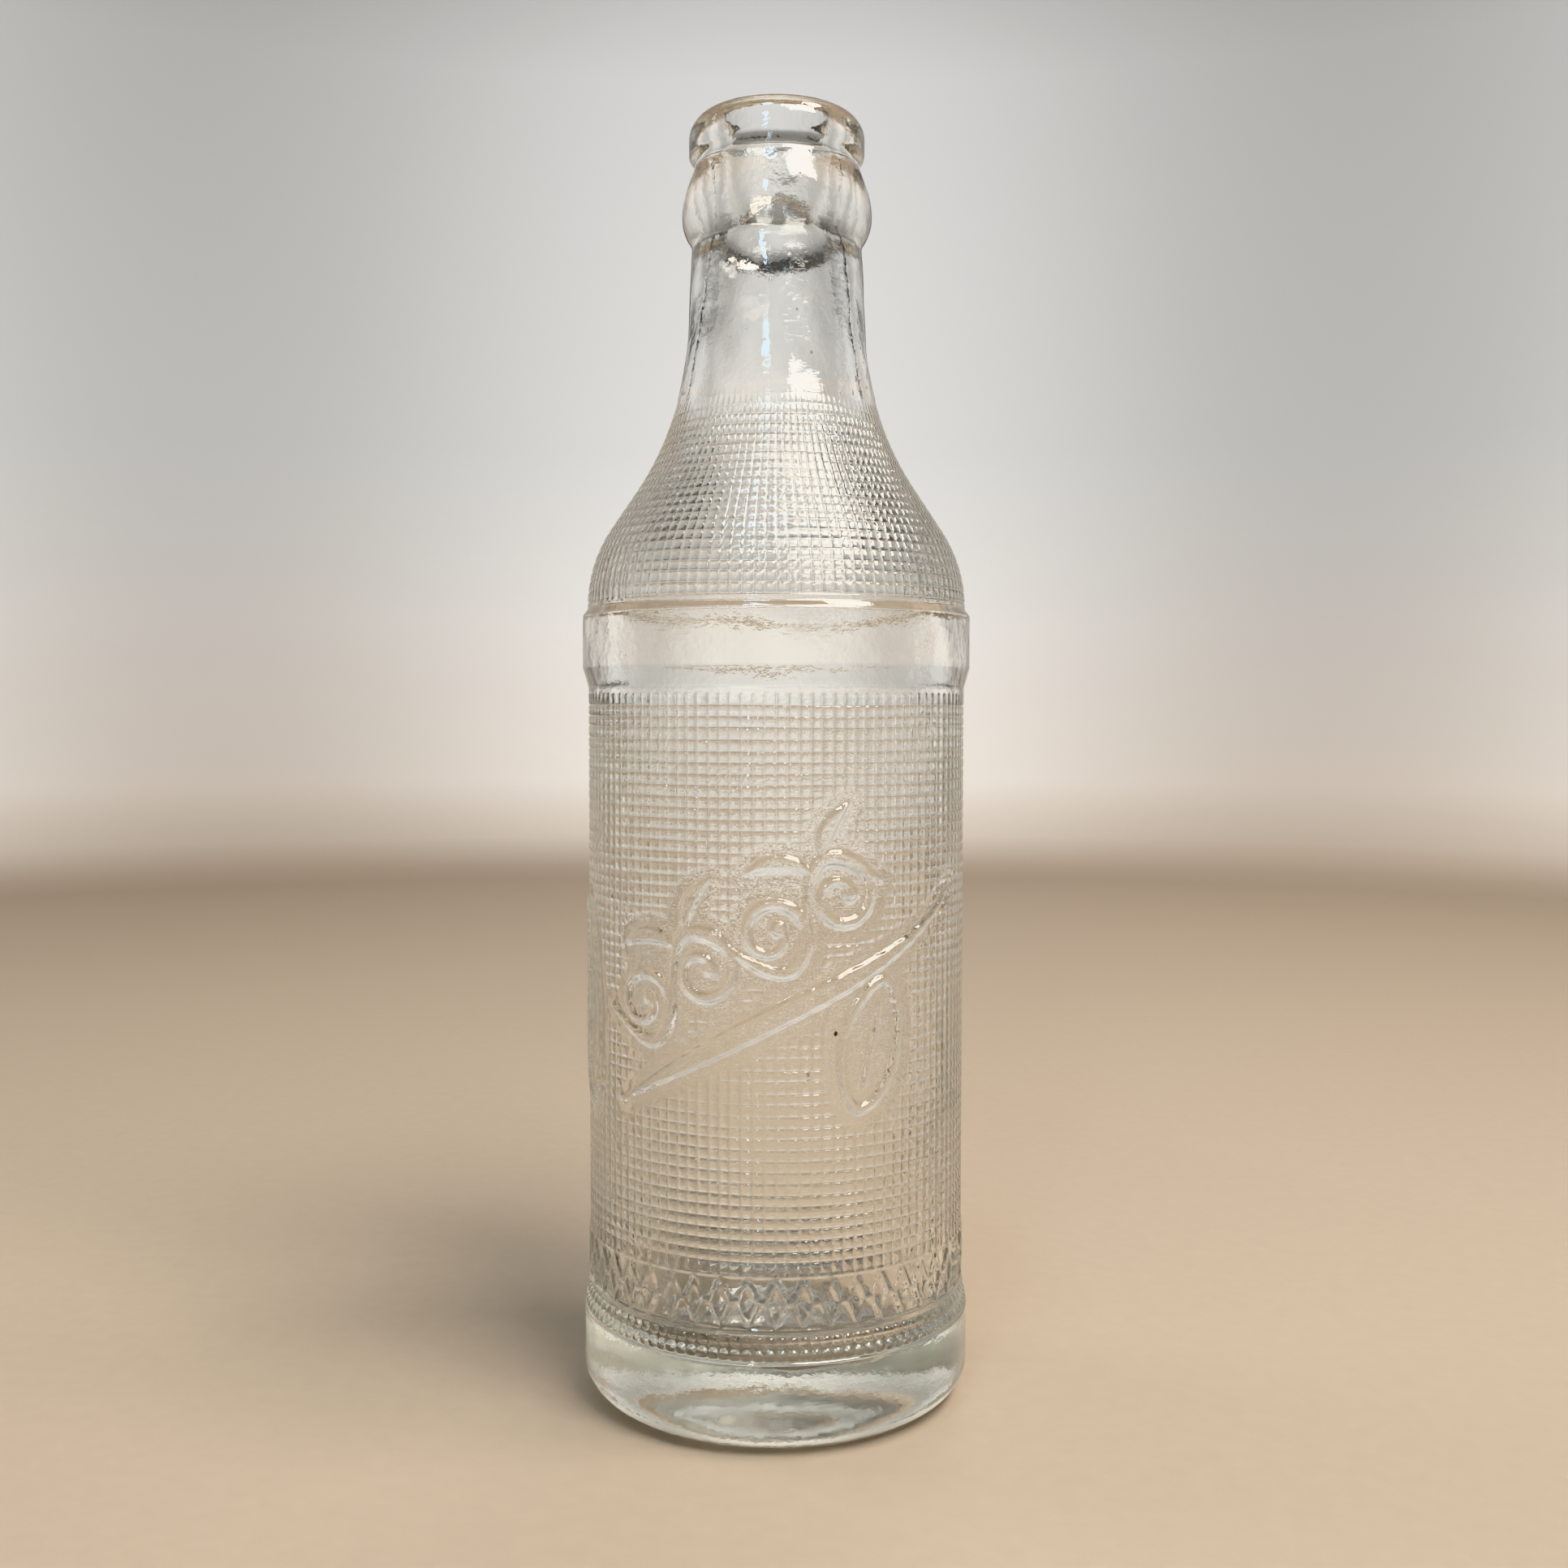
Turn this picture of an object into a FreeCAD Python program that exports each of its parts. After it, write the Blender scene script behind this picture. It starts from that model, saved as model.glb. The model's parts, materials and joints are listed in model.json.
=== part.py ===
import FreeCAD, Part
import math
import os
import Sketcher

# Small returnable soda bottle: one thick-walled moulding of clear glass with a crown finish.
#
# Frame: millimetres, +Z up through the mouth, origin at the centre of the base on the plane that the
# bottle stands on. The moulded script faces -Y. The raised grid and the script are only tenths of a
# millimetre high, so the outside here is the smooth surface over their tops.

NODE = "glass_bottle"

# Driving sizes: alias, value, what it is. Heights are above the standing plane unless they say "drop",
# which is measured down from the top of the lip.
SIZES = [
    ("overall_height", 194.0, "standing plane to the top of the lip"),
    # crown finish
    ("bore_radius", 8.0, "straight bore behind the lip"),
    ("bore_length", 17.5, "top of the lip to the end of the straight bore"),
    ("rim_round", 0.9, "inner edge of the lip"),
    ("lip_radius", 13.3, "outside of the lip, the seat of a 26 mm crown cap"),
    ("lip_crown_round", 3.8, "rounding from the top of the lip to its side"),
    ("lip_side_drop", 6.4, "lower end of the lip's side"),
    ("lip_side_round", 1.3, "rounding under the lip's side"),
    ("lip_waist_radius", 12.4, "narrowest place under the lip, where a crown is crimped"),
    ("lip_waist_drop", 7.7, "height of that waist"),
    ("waist_round", 0.8, "rounding in the waist"),
    ("ring_radius", 14.2, "outside of the transfer ring under the finish"),
    ("ring_top_drop", 12.6, "upper corner of the transfer ring"),
    ("ring_top_round", 14.0, "rounding over the ring's upper corner"),
    ("ring_foot_drop", 17.3, "lower corner of the transfer ring"),
    ("ring_foot_round", 7.0, "rounding under the ring's lower corner"),
    # neck and shoulder
    ("neck_top_radius", 12.7, "neck just under the transfer ring"),
    ("neck_top_drop", 19.6, "corner between the ring's underside and the neck"),
    ("neck_top_round", 1.2, "rounding in that corner"),
    ("neck_foot_radius", 14.0, "neck line carried down to the shoulder's slope"),
    ("neck_foot_height", 148.4, "height where those two lines cross"),
    ("neck_sweep", 48.0, "hollow sweep from the neck into the shoulder"),
    ("shoulder_radius", 28.75, "shoulder just above the smooth band"),
    ("shoulder_height", 126.2, "height where the slope and the shoulder's side cross"),
    ("shoulder_sweep", 21.0, "full sweep over the shoulder"),
    # smooth band between the two fields of grid
    ("band_radius", 29.5, "outside of the smooth band"),
    ("band_top_height", 118.6, "upper edge of the band"),
    ("band_lip_height", 1.0, "height of the small step over the band"),
    ("band_foot_height", 110.8, "lower edge of the band"),
    ("band_ramp", 3.0, "height of the ramp from the band to the body"),
    ("band_round", 1.2, "rounding of the ramp's two corners"),
    ("band_lip_round", 0.3, "rounding of the step over the band"),
    # body, heel and base
    ("body_radius", 28.65, "body over the tops of the grid"),
    ("body_foot_height", 18.0, "lower end of the body, over the heel"),
    ("heel_radius", 29.5, "outside of the heel"),
    ("heel_top_height", 13.8, "upper edge of the smooth heel"),
    ("heel_top_round", 1.5, "rounding of the heel's upper edge"),
    ("heel_round", 5.6, "rounding from the heel to the bearing ring"),
    ("bearing_inner_radius", 20.6, "inner edge of the ring that the bottle stands on"),
    ("push_up", 3.4, "rise of the domed base at its middle"),
    # inside
    ("cavity_radius", 23.2, "inside of the body"),
    ("floor_height", 9.2, "inside floor at its middle"),
    ("floor_round", 9.0, "rounding from the floor to the cavity's side"),
    ("cavity_shoulder_height", 125.0, "inside, where the slope and the cavity's side cross"),
    ("cavity_shoulder_sweep", 18.0, "full sweep inside the shoulder"),
    ("throat_radius", 12.3, "inside neck line carried down to the slope"),
    ("throat_height", 142.5, "height where those two lines cross"),
    ("throat_sweep", 40.0, "hollow sweep from the slope into the throat"),
    ("throat_top_sweep", 30.0, "easing of the throat into the straight bore"),
]


def make_sheet(doc):
    """Put the driving sizes in a spreadsheet, one alias to a row."""
    sheet = doc.addObject("Spreadsheet::Sheet", "Sizes")
    for row, (alias, value, note) in enumerate(SIZES, start=1):
        sheet.set(f"A{row}", alias)
        sheet.set(f"B{row}", str(value))
        sheet.set(f"C{row}", note)
        sheet.setAlias(f"B{row}", alias)
    doc.recompute()
    return sheet


def plane_of(body, role):
    """The body's own origin plane with this role."""
    for feature in body.Origin.OriginFeatures:
        if feature.Role == role:
            return feature
    raise RuntimeError("no origin plane " + role)


def section_sketch(body, name):
    """An empty sketch on the upright plane through the axis: across is radius, up is height."""
    sketch = body.newObject("Sketcher::SketchObject", name)
    sketch.AttachmentSupport = [(plane_of(body, "XZ_Plane"), "")]
    sketch.MapMode = "FlatFace"
    return sketch


def sized(sketch, expression, kind, *places):
    """Add a dimension and bind it to an expression on the sheet."""
    value = sketch.evalExpression(expression)
    index = sketch.addConstraint(Sketcher.Constraint(kind, *places, value))
    sketch.setExpression(f"Constraints[{index}]", expression)


def towards(start, end, distance):
    """The point this far from start on the way to end."""
    step = end - start
    step.normalize()
    return start + step * distance


def draw_outline(sketch, corners):
    """Draw a closed outline through corners of (radius, height, rounding), all expressions on the sheet.

    A corner with no rounding is a sharp joint of two sides. A rounded one keeps its theoretical corner as
    a point on both sides, and an arc touches both.
    """
    count = len(corners)
    points = [FreeCAD.Vector(sketch.evalExpression(across), sketch.evalExpression(up), 0)
              for across, up, rounding in corners]

    # how far the rounding reaches back along the sides from each corner
    reaches = []
    for index, (across, up, rounding) in enumerate(corners):
        if rounding is None:
            reaches.append(0.0)
            continue
        before = points[index - 1] - points[index]
        after = points[(index + 1) % count] - points[index]
        half_angle = before.getAngle(after) / 2
        reaches.append(sketch.evalExpression(rounding) / math.tan(half_angle))

    sides = []
    for index in range(count):
        following = (index + 1) % count
        start = towards(points[index], points[following], reaches[index])
        end = towards(points[following], points[index], reaches[following])
        sides.append(sketch.addGeometry(Part.LineSegment(start, end), False))

    for index, (across, up, rounding) in enumerate(corners):
        arriving, leaving = sides[index - 1], sides[index]
        if rounding is None:
            sketch.addConstraint(Sketcher.Constraint("Coincident", arriving, 2, leaving, 1))
            place_point(sketch, leaving, 1, across, up)
            continue
        corner = sketch.addGeometry(Part.Point(points[index]), True)
        place_point(sketch, corner, 1, across, up)
        sketch.addConstraint(Sketcher.Constraint("PointOnObject", corner, 1, arriving))
        sketch.addConstraint(Sketcher.Constraint("PointOnObject", corner, 1, leaving))
        draw_rounding(sketch, points, index, reaches[index], arriving, leaving, rounding)


def place_point(sketch, geometry, end, across, up):
    """Hold a point at a radius from the axis and a height over the standing plane."""
    if across == "0":
        sketch.addConstraint(Sketcher.Constraint("PointOnObject", geometry, end, -2))
    else:
        sized(sketch, across, "DistanceX", -1, 1, geometry, end)
    if up == "0":
        sketch.addConstraint(Sketcher.Constraint("PointOnObject", geometry, end, -1))
    else:
        sized(sketch, up, "DistanceY", -1, 1, geometry, end)


def draw_rounding(sketch, points, index, reach, arriving, leaving, rounding):
    """An arc of the given radius that joins two sides and touches both."""
    corner = points[index]
    start = towards(corner, points[index - 1], reach)
    end = towards(corner, points[(index + 1) % len(points)], reach)
    bisector = towards(corner, (start + end) * 0.5, 1.0) - corner
    radius = sketch.evalExpression(rounding)
    centre = corner + bisector * math.hypot(radius, reach)
    middle = centre - bisector * radius
    arc = sketch.addGeometry(Part.Arc(start, middle, end), False)
    # an arc in a sketch always runs anticlockwise, so its first point may be either end
    anticlockwise = (middle - start).cross(end - middle).z > 0
    first, last = (1, 2) if anticlockwise else (2, 1)
    sketch.addConstraint(Sketcher.Constraint("Tangent", arriving, 2, arc, first))
    sketch.addConstraint(Sketcher.Constraint("Tangent", arc, last, leaving, 1))
    sized(sketch, rounding, "Radius", arc)


def turn(body, sketch, name, kind):
    """Turn a section round the axis, as glass (Revolution) or as a hollow (Groove)."""
    feature = body.newObject("PartDesign::" + kind, name)
    feature.Profile = sketch
    feature.ReferenceAxis = (sketch, ["V_Axis"])
    feature.Angle = 360.0
    sketch.Visibility = False
    body.Document.recompute()
    return feature


def outer_form(body):
    """The outside, as one solid of revolution from the standing plane to the top of the lip."""
    top = "Sizes.overall_height"
    band_lip = "Sizes.band_top_height + Sizes.band_lip_height"
    ramp_foot = "Sizes.band_foot_height - Sizes.band_ramp"
    sketch = section_sketch(body, "outer_section")
    draw_outline(sketch, [
        ("0", "0", None),
        ("Sizes.heel_radius", "0", "Sizes.heel_round"),
        ("Sizes.heel_radius", "Sizes.heel_top_height", "Sizes.heel_top_round"),
        ("Sizes.body_radius", "Sizes.body_foot_height", "Sizes.heel_top_round"),
        ("Sizes.body_radius", ramp_foot, "Sizes.band_round"),
        ("Sizes.band_radius", "Sizes.band_foot_height", "Sizes.band_round"),
        ("Sizes.band_radius", "Sizes.band_top_height", "Sizes.band_lip_round"),
        ("Sizes.shoulder_radius", band_lip, "Sizes.band_lip_round"),
        ("Sizes.shoulder_radius", "Sizes.shoulder_height", "Sizes.shoulder_sweep"),
        ("Sizes.neck_foot_radius", "Sizes.neck_foot_height", "Sizes.neck_sweep"),
        ("Sizes.neck_top_radius", top + " - Sizes.neck_top_drop", "Sizes.neck_top_round"),
        ("Sizes.ring_radius", top + " - Sizes.ring_foot_drop", "Sizes.ring_foot_round"),
        ("Sizes.ring_radius", top + " - Sizes.ring_top_drop", "Sizes.ring_top_round"),
        ("Sizes.lip_waist_radius", top + " - Sizes.lip_waist_drop", "Sizes.waist_round"),
        ("Sizes.lip_radius", top + " - Sizes.lip_side_drop", "Sizes.lip_side_round"),
        ("Sizes.lip_radius", top, "Sizes.lip_crown_round"),
        ("0", top, None),
    ])
    return turn(body, sketch, "outer_form", "Revolution")


def hollow_inside(body):
    """The open inside: cavity, shoulder, throat and the straight bore behind the lip."""
    top = "Sizes.overall_height"
    sketch = section_sketch(body, "inner_section")
    draw_outline(sketch, [
        ("0", "Sizes.floor_height", None),
        ("Sizes.cavity_radius", "Sizes.floor_height", "Sizes.floor_round"),
        ("Sizes.cavity_radius", "Sizes.cavity_shoulder_height", "Sizes.cavity_shoulder_sweep"),
        ("Sizes.throat_radius", "Sizes.throat_height", "Sizes.throat_sweep"),
        ("Sizes.bore_radius", top + " - Sizes.bore_length", "Sizes.throat_top_sweep"),
        ("Sizes.bore_radius", top, None),
        ("0", top, None),
    ])
    return turn(body, sketch, "inside", "Groove")


def dome_base(body):
    """The push-up: a shallow dome under the base that leaves a flat bearing ring round it."""
    sketch = section_sketch(body, "push_up_section")
    width = sketch.evalExpression("Sizes.bearing_inner_radius")
    rise = sketch.evalExpression("Sizes.push_up")
    radius = (width ** 2 + rise ** 2) / (2 * rise)
    centre = FreeCAD.Vector(0, rise - radius, 0)
    foot = FreeCAD.Vector(width, 0, 0)
    crown = FreeCAD.Vector(0, rise, 0)
    middle = centre + towards(FreeCAD.Vector(), (foot + crown) * 0.5 - centre, radius)
    base = sketch.addGeometry(Part.LineSegment(FreeCAD.Vector(), foot), False)
    dome = sketch.addGeometry(Part.Arc(foot, middle, crown), False)
    axis = sketch.addGeometry(Part.LineSegment(crown, FreeCAD.Vector()), False)
    sketch.addConstraint(Sketcher.Constraint("Coincident", base, 1, -1, 1))
    sketch.addConstraint(Sketcher.Constraint("Horizontal", base))
    sketch.addConstraint(Sketcher.Constraint("Vertical", axis))
    sketch.addConstraint(Sketcher.Constraint("Coincident", base, 2, dome, 1))
    sketch.addConstraint(Sketcher.Constraint("Coincident", dome, 2, axis, 1))
    sketch.addConstraint(Sketcher.Constraint("Coincident", axis, 2, base, 1))
    sketch.addConstraint(Sketcher.Constraint("PointOnObject", dome, 3, -2))
    sized(sketch, "Sizes.bearing_inner_radius", "DistanceX", base, 1, base, 2)
    sized(sketch, "Sizes.push_up", "DistanceY", axis, 2, axis, 1)
    return turn(body, sketch, "push_up_dome", "Groove")


def ring_edges(shape, radius, height):
    """Names of the full circles of this radius at this height."""
    names = []
    for index, edge in enumerate(shape.Edges, start=1):
        if edge.Degenerated or not isinstance(edge.Curve, Part.Circle):
            continue
        if abs(edge.Curve.Radius - radius) < 1e-4 and abs(edge.Curve.Center.z - height) < 1e-4:
            names.append(f"Edge{index}")
    return names


def round_rim(body, base, sheet):
    """Fire-polished inner edge of the lip."""
    fillet = body.newObject("PartDesign::Fillet", "rim_edge")
    fillet.Base = (base, ring_edges(base.Shape, sheet.bore_radius, sheet.overall_height))
    fillet.setExpression("Radius", "Sizes.rim_round")
    body.Document.recompute()
    return fillet


def check_cut(before, after):
    """Stop if a feature that should take glass away took none."""
    taken = before.Shape.Volume - after.Shape.Volume
    if taken < 1.0:
        raise RuntimeError(f"{after.Name} cuts nothing")
    print(f"{after.Name}: takes {taken / 1000:.2f} ml")


def check_document(doc):
    """Stop at any object that failed without raising."""
    for item in doc.Objects:
        if "Invalid" in item.State or "Error" in item.State:
            raise RuntimeError(f"{item.Name}: {item.State}")
        if item.isDerivedFrom("Sketcher::SketchObject") and item.solve() != 0:
            raise RuntimeError(f"{item.Name}: the sketch doesn't solve")


def check_solid(body):
    """Stop unless the body is one valid solid."""
    shape = body.Shape
    if shape.isNull() or not shape.isValid() or len(shape.Solids) != 1:
        raise RuntimeError(f"{body.Label}: not one valid solid")
    print(f"{body.Label}: {shape.Volume / 1000:.1f} ml of glass, {len(shape.Faces)} faces")


doc = FreeCAD.newDocument("soda_bottle")
sheet = make_sheet(doc)

bottle = doc.addObject("PartDesign::Body", NODE)
bottle.Label = NODE
bottle.Placement = FreeCAD.Placement()

outside = outer_form(bottle)
inside = hollow_inside(bottle)
check_cut(outside, inside)
dome = dome_base(bottle)
check_cut(inside, dome)
rim = round_rim(bottle, dome, sheet)
check_cut(dome, rim)

doc.recompute()
check_document(doc)
check_solid(bottle)

os.makedirs("parts", exist_ok=True)
bottle.Shape.exportStep(f"parts/{bottle.Label}.step")
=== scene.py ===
import json
import math

import bpy
import numpy as np
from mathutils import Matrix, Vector


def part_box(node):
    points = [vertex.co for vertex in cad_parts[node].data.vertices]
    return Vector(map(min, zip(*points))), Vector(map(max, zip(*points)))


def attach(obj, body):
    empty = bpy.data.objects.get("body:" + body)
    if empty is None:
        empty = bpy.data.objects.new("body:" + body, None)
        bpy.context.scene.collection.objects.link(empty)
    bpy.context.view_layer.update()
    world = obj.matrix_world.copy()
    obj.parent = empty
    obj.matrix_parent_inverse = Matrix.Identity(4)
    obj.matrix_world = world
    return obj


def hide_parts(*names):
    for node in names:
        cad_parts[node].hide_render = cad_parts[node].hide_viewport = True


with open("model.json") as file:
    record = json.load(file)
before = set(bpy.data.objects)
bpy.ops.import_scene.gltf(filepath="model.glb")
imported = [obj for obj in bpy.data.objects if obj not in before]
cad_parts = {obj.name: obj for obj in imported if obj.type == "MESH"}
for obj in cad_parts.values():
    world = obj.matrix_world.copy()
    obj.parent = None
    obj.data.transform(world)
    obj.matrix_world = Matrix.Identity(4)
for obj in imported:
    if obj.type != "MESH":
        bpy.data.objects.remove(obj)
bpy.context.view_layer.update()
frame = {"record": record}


# ---------------------------------------------------------------------------------------------------
# The bare wall of the bottle
# One thick-walled moulding of soda-lime glass, pressed and blown from a single gob in a two-part mould.
# Its outline runs from the middle of the base, up the outside, over the lip and down the inside.
# All sizes are in millimetres until the mesh is made.

MM = 0.001
wall_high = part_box("glass_bottle")[1]
mounts = {mount["name"]: mount["dims"] for mount in frame["record"]["mounts"]}

TOP = wall_high.z / MM
BAND_RADIUS = wall_high.x / MM
LIP_RADIUS = mounts["crown_finish"]["r_mm"]
BORE_RADIUS = mounts["mouth_bore"]["r_mm"]

BODY_RADIUS = BAND_RADIUS - 0.85
SHOULDER_RADIUS = BAND_RADIUS - 0.75
HEEL_RADIUS = BAND_RADIUS
HEEL_ROUND = 5.6
BEARING_INNER_RADIUS = 20.6
PUSH_UP = 3.4
FLOOR_HEIGHT = 9.2
CAVITY_RADIUS = 23.2
BAND_FOOT = 110.8
BAND_TOP = 118.6
HEEL_TOP = 13.8
STRIP_FOOT = 18.0
DOME_STEPS = 120
OUTLINE_STEP = 0.05

OUTSIDE = [
    (BEARING_INNER_RADIUS, 0.0, 0.0),
    (HEEL_RADIUS, 0.0, HEEL_ROUND),
    (HEEL_RADIUS, HEEL_TOP, 1.5),
    (BODY_RADIUS, STRIP_FOOT, 1.5),
    (BODY_RADIUS, BAND_FOOT - 3.0, 1.2),
    (BAND_RADIUS, BAND_FOOT, 1.2),
    (BAND_RADIUS, BAND_TOP, 0.35),
    (SHOULDER_RADIUS, BAND_TOP + 1.0, 0.35),
    (SHOULDER_RADIUS, 126.2, 20.5),
    (14.0, 148.4, 48.0),
    (12.7, TOP - 19.6, 1.2),
    (14.2, TOP - 17.3, 7.0),
    (14.2, TOP - 12.6, 14.0),
    (12.4, TOP - 7.7, 0.8),
    (LIP_RADIUS, TOP - 6.4, 1.3),
    (LIP_RADIUS, TOP, 3.8),
]
INSIDE = [
    (BORE_RADIUS, TOP, 0.9),
    (BORE_RADIUS, TOP - 17.5, 30.0),
    (12.3, 142.5, 40.0),
    (CAVITY_RADIUS, 125.0, 18.0),
    (CAVITY_RADIUS, FLOOR_HEIGHT, 9.0),
    (0.0, FLOOR_HEIGHT, 0.0),
]


def run_outline(corners, step):
    """Closely spaced (radius, height) points along straight sides that are joined by round corners."""
    corners = [np.array(corner, float) for corner in corners]
    points = [corners[0][:2]]
    for before, corner, after in zip(corners, corners[1:], corners[2:]):
        back = before[:2] - corner[:2]
        onward = after[:2] - corner[:2]
        back /= np.linalg.norm(back)
        onward /= np.linalg.norm(onward)
        half_angle = math.acos(float(back @ onward)) / 2
        reach = corner[2] / math.tan(half_angle)
        start = corner[:2] + back * reach
        end = corner[:2] + onward * reach
        middle = (back + onward) / np.linalg.norm(back + onward)
        centre = corner[:2] + middle * corner[2] / math.sin(half_angle)
        points += along_line(points[-1], start, step)
        points += along_arc(start, end, centre, step)
    points += along_line(points[-1], corners[-1][:2], step)
    return points


def along_line(start, end, step):
    """Points about a step apart on a straight side, without its start."""
    count = max(1, int(np.linalg.norm(end - start) / step))
    return [start + (end - start) * (index + 1) / count for index in range(count)]


def along_arc(start, end, centre, step):
    """Points about a step apart on a round corner, without its start."""
    first = math.atan2(*(start - centre)[::-1])
    sweep = (math.atan2(*(end - centre)[::-1]) - first + math.pi) % (2 * math.pi) - math.pi
    radius = np.linalg.norm(start - centre)
    count = max(6, int(abs(sweep) * radius / step))
    angles = first + sweep * (np.arange(count) + 1) / count
    return [centre + radius * np.array([math.cos(angle), math.sin(angle)]) for angle in angles]


dome_radius = np.linspace(0.0, BEARING_INNER_RADIUS, DOME_STEPS)[:-1]
dome = [np.array([radius, PUSH_UP * (1 - (radius / BEARING_INNER_RADIUS) ** 2)]) for radius in dome_radius]
outline = np.array(dome + run_outline(OUTSIDE + INSIDE, OUTLINE_STEP))

steps = np.linalg.norm(np.diff(outline, axis=0), axis=1)
outline = outline[np.append(True, steps > 1e-9)]
distance = np.append(0.0, np.cumsum(np.linalg.norm(np.diff(outline, axis=0), axis=1)))
lip_distance = distance[np.argmax(outline[:, 1])]
foot_distance = distance[np.argmax(distance * (outline[:, 1] < 1e-6))]


def up_outside(height):
    """Distance along the outline to a height on the outside of the wall."""
    rising = (distance >= foot_distance) & (distance <= lip_distance)
    return float(np.interp(height, outline[rising, 1], distance[rising]))


def spread(start, end, step):
    """Evenly spaced distances from start up to, but not at, end."""
    count = max(1, round((end - start) / step))
    return start + (end - start) * np.arange(count) / count


# ---------------------------------------------------------------------------------------------------
# The lines of the mould's grid
# Two fields of small raised pillows, one on the body and one on the shoulder, were cut into the mould by
# hand-guided tools. The lines between them run unbroken round and up the bottle, and none is quite even.

random = np.random.default_rng(7)

COLUMN_COUNT = 112
ROW_PITCH = 1.59
BODY_GRID = (26.0, 106.8)
SHOULDER_GRID = (120.6, 151.5)
FINE_CUTS = np.array([0.0, 0.07, 0.15, 0.38, 0.62, 0.85, 0.93])
PLAIN_CUTS = np.array([0.0, 0.08, 0.17, 0.83, 0.92])
FINE_SIDE = (math.radians(-108), math.radians(62))
FINE_HEIGHTS = (43.0, 96.0)
SLOPE_REACH = 0.06

# lengths along the outline from the lip down the inside, and back from the middle of the floor
LIP_RUN = 6.0
BORE_RUN = 16.0
THROAT_RUN = 65.0
FLOOR_RUN = 36.0


def uneven_lines(start, end, pitch, unevenness):
    """Grid lines from start to end, about a pitch apart, each a little off its place."""
    count = round((end - start) / pitch)
    lines = np.linspace(start, end, count + 1)
    lines[1:-1] += random.normal(0.0, unevenness * pitch, count - 1)
    return lines


def cut_between(lines, is_fine):
    """Places on and between grid lines, and how far each lies from one line (0) to the next (1)."""
    places, shares = [], []
    for start, end in zip(lines, lines[1:]):
        cuts = FINE_CUTS if is_fine(start) else PLAIN_CUTS
        places.append(start + (end - start) * cuts)
        shares.append(cuts)
    return np.concatenate(places), np.concatenate(shares)


# columns, as angles round the bottle: 0 faces -Y, where the ornament is, and +X is a quarter turn on
column_lines = uneven_lines(-math.pi, math.pi, 2 * math.pi / COLUMN_COUNT, 0.035)
angles, across_share = cut_between(column_lines, lambda angle: FINE_SIDE[0] < angle < FINE_SIDE[1])

# rows, as distances along the outline
body_lines = uneven_lines(up_outside(BODY_GRID[0]), up_outside(BODY_GRID[1]), ROW_PITCH, 0.04)
shoulder_lines = uneven_lines(up_outside(SHOULDER_GRID[0]), up_outside(SHOULDER_GRID[1]), ROW_PITCH, 0.04)
fine_run = (up_outside(FINE_HEIGHTS[0]), up_outside(FINE_HEIGHTS[1]))
body_rows, body_share = cut_between(body_lines, lambda place: fine_run[0] < place < fine_run[1])
shoulder_rows, shoulder_share = cut_between(shoulder_lines, lambda place: False)

dome_end = float(np.interp(BEARING_INNER_RADIUS, outline[:DOME_STEPS, 0], distance[:DOME_STEPS]))
bore_start = lip_distance + LIP_RUN
throat_start = bore_start + BORE_RUN
cavity_start = throat_start + THROAT_RUN
floor_start = distance[-1] - FLOOR_RUN
before_grid = np.concatenate([
    spread(0.0, dome_end, 1.2),
    spread(dome_end, foot_distance, 0.35),
    spread(foot_distance, up_outside(HEEL_ROUND), 0.4),
    spread(up_outside(HEEL_ROUND), up_outside(HEEL_TOP - 0.6), 0.8),
    spread(up_outside(HEEL_TOP - 0.6), up_outside(STRIP_FOOT), 0.19),
    spread(up_outside(STRIP_FOOT), body_lines[0], 0.21),
])
band_rows = spread(body_lines[-1], shoulder_lines[0], 0.26)
after_grid = np.concatenate([
    spread(shoulder_lines[-1], up_outside(TOP - 20.8), 0.9),
    spread(up_outside(TOP - 20.8), lip_distance, 0.32),
    spread(lip_distance, bore_start, 0.3),
    spread(bore_start, throat_start, 1.3),
    spread(throat_start, cavity_start, 1.2),
    spread(cavity_start, floor_start, 2.4),
    spread(floor_start, distance[-1], 1.1),
])
rows = np.concatenate([before_grid, body_rows, band_rows, shoulder_rows, after_grid, distance[-1:]])
row_share = np.concatenate([
    np.zeros(len(before_grid)), body_share, np.zeros(len(band_rows)), shoulder_share,
    np.zeros(len(after_grid) + 1),
])
in_grid = np.concatenate([
    np.zeros(len(before_grid)), np.ones(len(body_rows)), np.zeros(len(band_rows)),
    np.ones(len(shoulder_rows)), np.zeros(len(after_grid) + 1),
])

radius = np.interp(rows, distance, outline[:, 0])
height = np.interp(rows, distance, outline[:, 1])
ahead = np.stack([np.interp(rows + SLOPE_REACH, distance, outline[:, axis]) for axis in (0, 1)])
behind = np.stack([np.interp(rows - SLOPE_REACH, distance, outline[:, axis]) for axis in (0, 1)])
heading = (ahead - behind) / np.linalg.norm(ahead - behind, axis=0)
outward = np.stack([heading[1], -heading[0]])
outside_wall = rows < lip_distance


def smooth_step(value):
    """0 to 1 without a kink at either end."""
    value = np.clip(value, 0.0, 1.0)
    return value * value * (3 - 2 * value)


def between(value, start, end, edge):
    """1 between start and end, falling to 0 over edge outside them."""
    return smooth_step((value - start + edge) / edge) * smooth_step((end + edge - value) / edge)


def slow_waves(size, count, seed):
    """A smooth uneven surface that closes round the bottle, of waves about the given size across."""
    draw = np.random.default_rng(seed)
    total = np.zeros((len(rows), len(angles)))
    for _ in range(count):
        whole_turns = int(draw.integers(0, max(2, round(2 * math.pi * BODY_RADIUS / size)) + 1))
        length = size * draw.uniform(0.8, 2.2) * draw.choice([-1.0, 1.0])
        phase = draw.uniform(0.0, 2 * math.pi)
        total += np.cos(whole_turns * angles[None, :] + (2 * math.pi / length) * rows[:, None] + phase)
    return total / math.sqrt(count / 2)


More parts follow.
